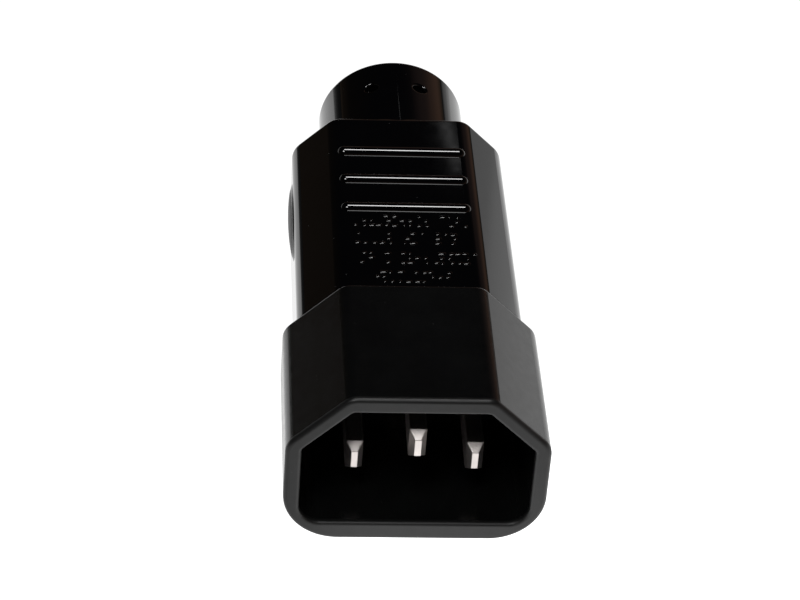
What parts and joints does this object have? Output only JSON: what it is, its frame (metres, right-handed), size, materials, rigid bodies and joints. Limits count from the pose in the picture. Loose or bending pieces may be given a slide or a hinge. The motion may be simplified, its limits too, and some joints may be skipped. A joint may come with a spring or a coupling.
{
  "type": "iec power adapter",
  "caption": "Straight mains adapter: three-pin inlet plug in a bevelled shroud, ribbed grip body and a round neck with a three-contact outlet.",
  "frame": {"origin": "centre of the plug's outer rim, in the plane of the rim", "axes": "+X to the neutral pin's side, +Y from the rim towards the outlet, +Z towards the earth pin"},
  "size_m": [0.0304, 0.0683, 0.0214],
  "materials": {
    "shroud_black": "satin moulded, near black",
    "grip_black": "glossy moulded, near black",
    "insert_black": "satin moulded, dark grey",
    "pin_nickel": "bright nickel plate",
    "contact_brass": "plain brass, turned",
    "spring_steel": "rolled spring steel",
    "core_copper": "bare stranded copper",
    "line_brown": "extruded brown insulation",
    "neutral_blue": "extruded blue insulation",
    "earth_green_yellow": "extruded green and yellow insulation",
    "carrier_natural": "unpainted natural plastic"
  },
  "bodies": {
    "root": {"plug_shroud": "shroud_black", "pin_retainer": "carrier_natural", "outlet_insert": "insert_black", "outlet_backing": "carrier_natural", "core_lower_shell": "carrier_natural", "core_upper_shell": "carrier_natural", "grip_body": "grip_black", "line_pin": "pin_nickel", "line_contact": "contact_brass", "line_contact_spring": "spring_steel", "line_core": "core_copper", "line_insulation": "line_brown", "neutral_pin": "pin_nickel", "neutral_contact": "contact_brass", "neutral_contact_spring": "spring_steel", "neutral_core": "core_copper", "neutral_insulation": "neutral_blue", "earth_pin": "pin_nickel", "earth_contact": "contact_brass", "earth_contact_spring": "spring_steel", "earth_core": "core_copper", "earth_insulation": "earth_green_yellow"}
  },
  "joints": []
}
